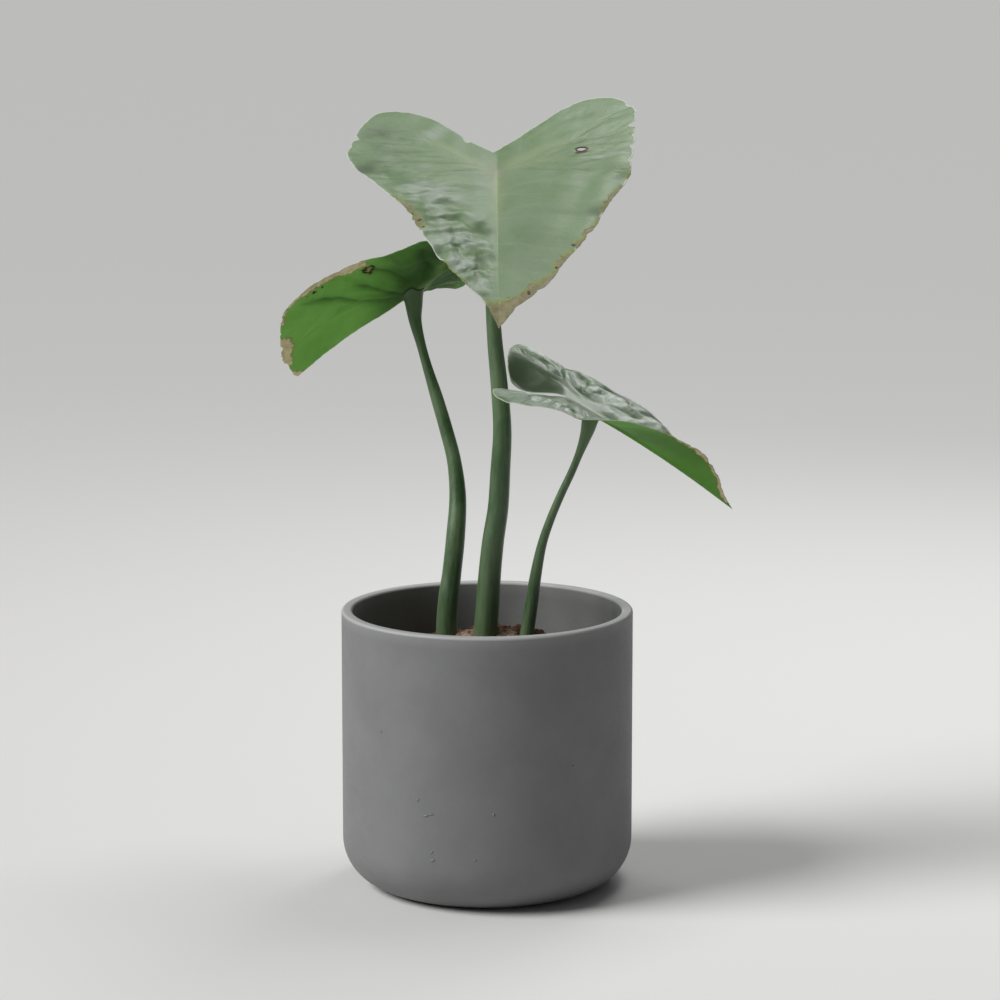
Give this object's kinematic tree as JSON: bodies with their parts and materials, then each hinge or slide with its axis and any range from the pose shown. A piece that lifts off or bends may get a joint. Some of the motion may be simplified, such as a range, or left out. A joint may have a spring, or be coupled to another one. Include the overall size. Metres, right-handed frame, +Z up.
{
  "type": "potted elephant ear taro",
  "caption": "Elephant ear taro with heart-shaped leaves on long stalks, growing from a corm in soil in a plain round planter.",
  "frame": {"origin": "middle of the planter's flat underside, on the planter's axis", "axes": "+Z up along the planter's axis, -Y towards the viewer that the tallest leaf faces, +X to that viewer's right"},
  "size_m": [0.3105, 0.2574, 0.5379],
  "materials": {
    "pot": "matte",
    "soil": "matte",
    "corm": "matte",
    "stalk": "satin",
    "leaf": "satin"
  },
  "bodies": {
    "root": {"pot": "pot", "soil": "soil", "corm": "corm", "stalk_centre": "stalk", "stalk_left": "stalk", "stalk_right": "stalk", "leaf_centre": "leaf", "leaf_left": "leaf", "leaf_right": "leaf"}
  },
  "joints": []
}
